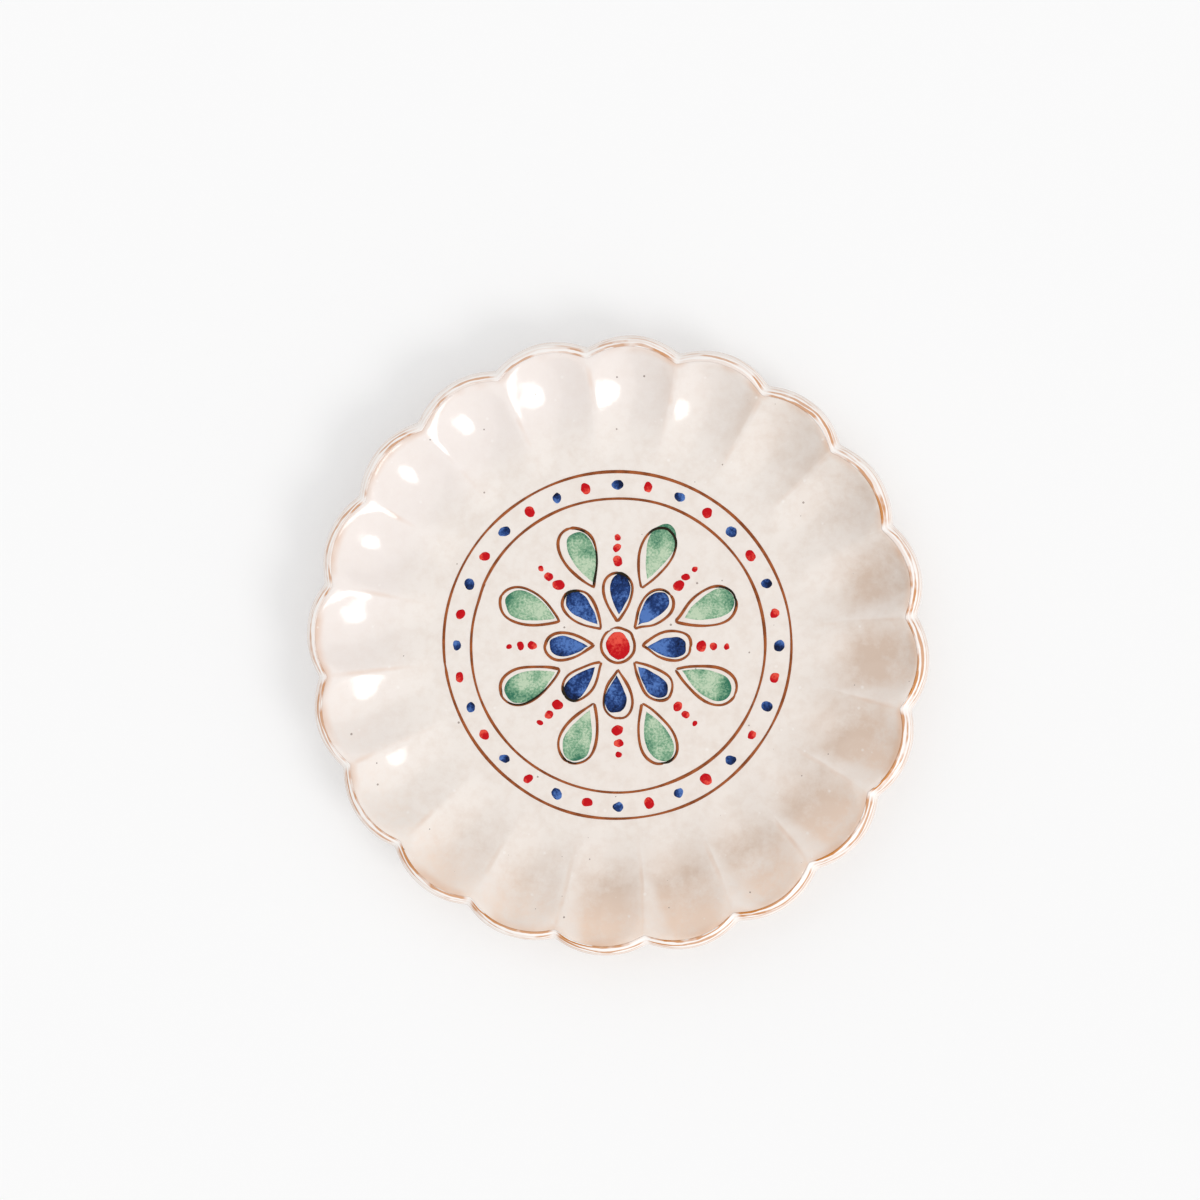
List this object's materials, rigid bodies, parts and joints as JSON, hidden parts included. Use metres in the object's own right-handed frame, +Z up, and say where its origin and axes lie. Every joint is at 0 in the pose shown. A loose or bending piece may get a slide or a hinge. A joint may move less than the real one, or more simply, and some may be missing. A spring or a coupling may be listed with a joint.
{
  "type": "scalloped dessert plate",
  "caption": "Round scalloped dessert plate in glazed earthenware, with a fluted wall, a flat painted floor for serving and a foot ring to stand on.",
  "frame": {"origin": "on the table, under the centre of the plate", "axes": "+Z up out of the plate, +X to the right and +Y to the top of the picture, which looks straight down"},
  "size_m": [0.2096, 0.2096, 0.02],
  "materials": {
    "terracotta": "bare fired clay, matt",
    "cream_glaze": "glossy cream glaze with fine specks",
    "lip_glaze": "thin cream glaze with clay showing through at the edges",
    "iron_brown": "fired brown line",
    "copper_green": "thin green wash under gloss",
    "cobalt_blue": "raised blue enamel",
    "enamel_red": "raised red enamel"
  },
  "bodies": {
    "root": {"clay_body": "terracotta", "foot_ring": "terracotta", "face_glaze": "cream_glaze", "back_glaze": "cream_glaze", "base_glaze": "cream_glaze", "lip_glaze": "lip_glaze", "brown_lines": "iron_brown", "green_drops": "copper_green", "blue_enamel": "cobalt_blue", "red_enamel": "enamel_red"}
  },
  "joints": []
}
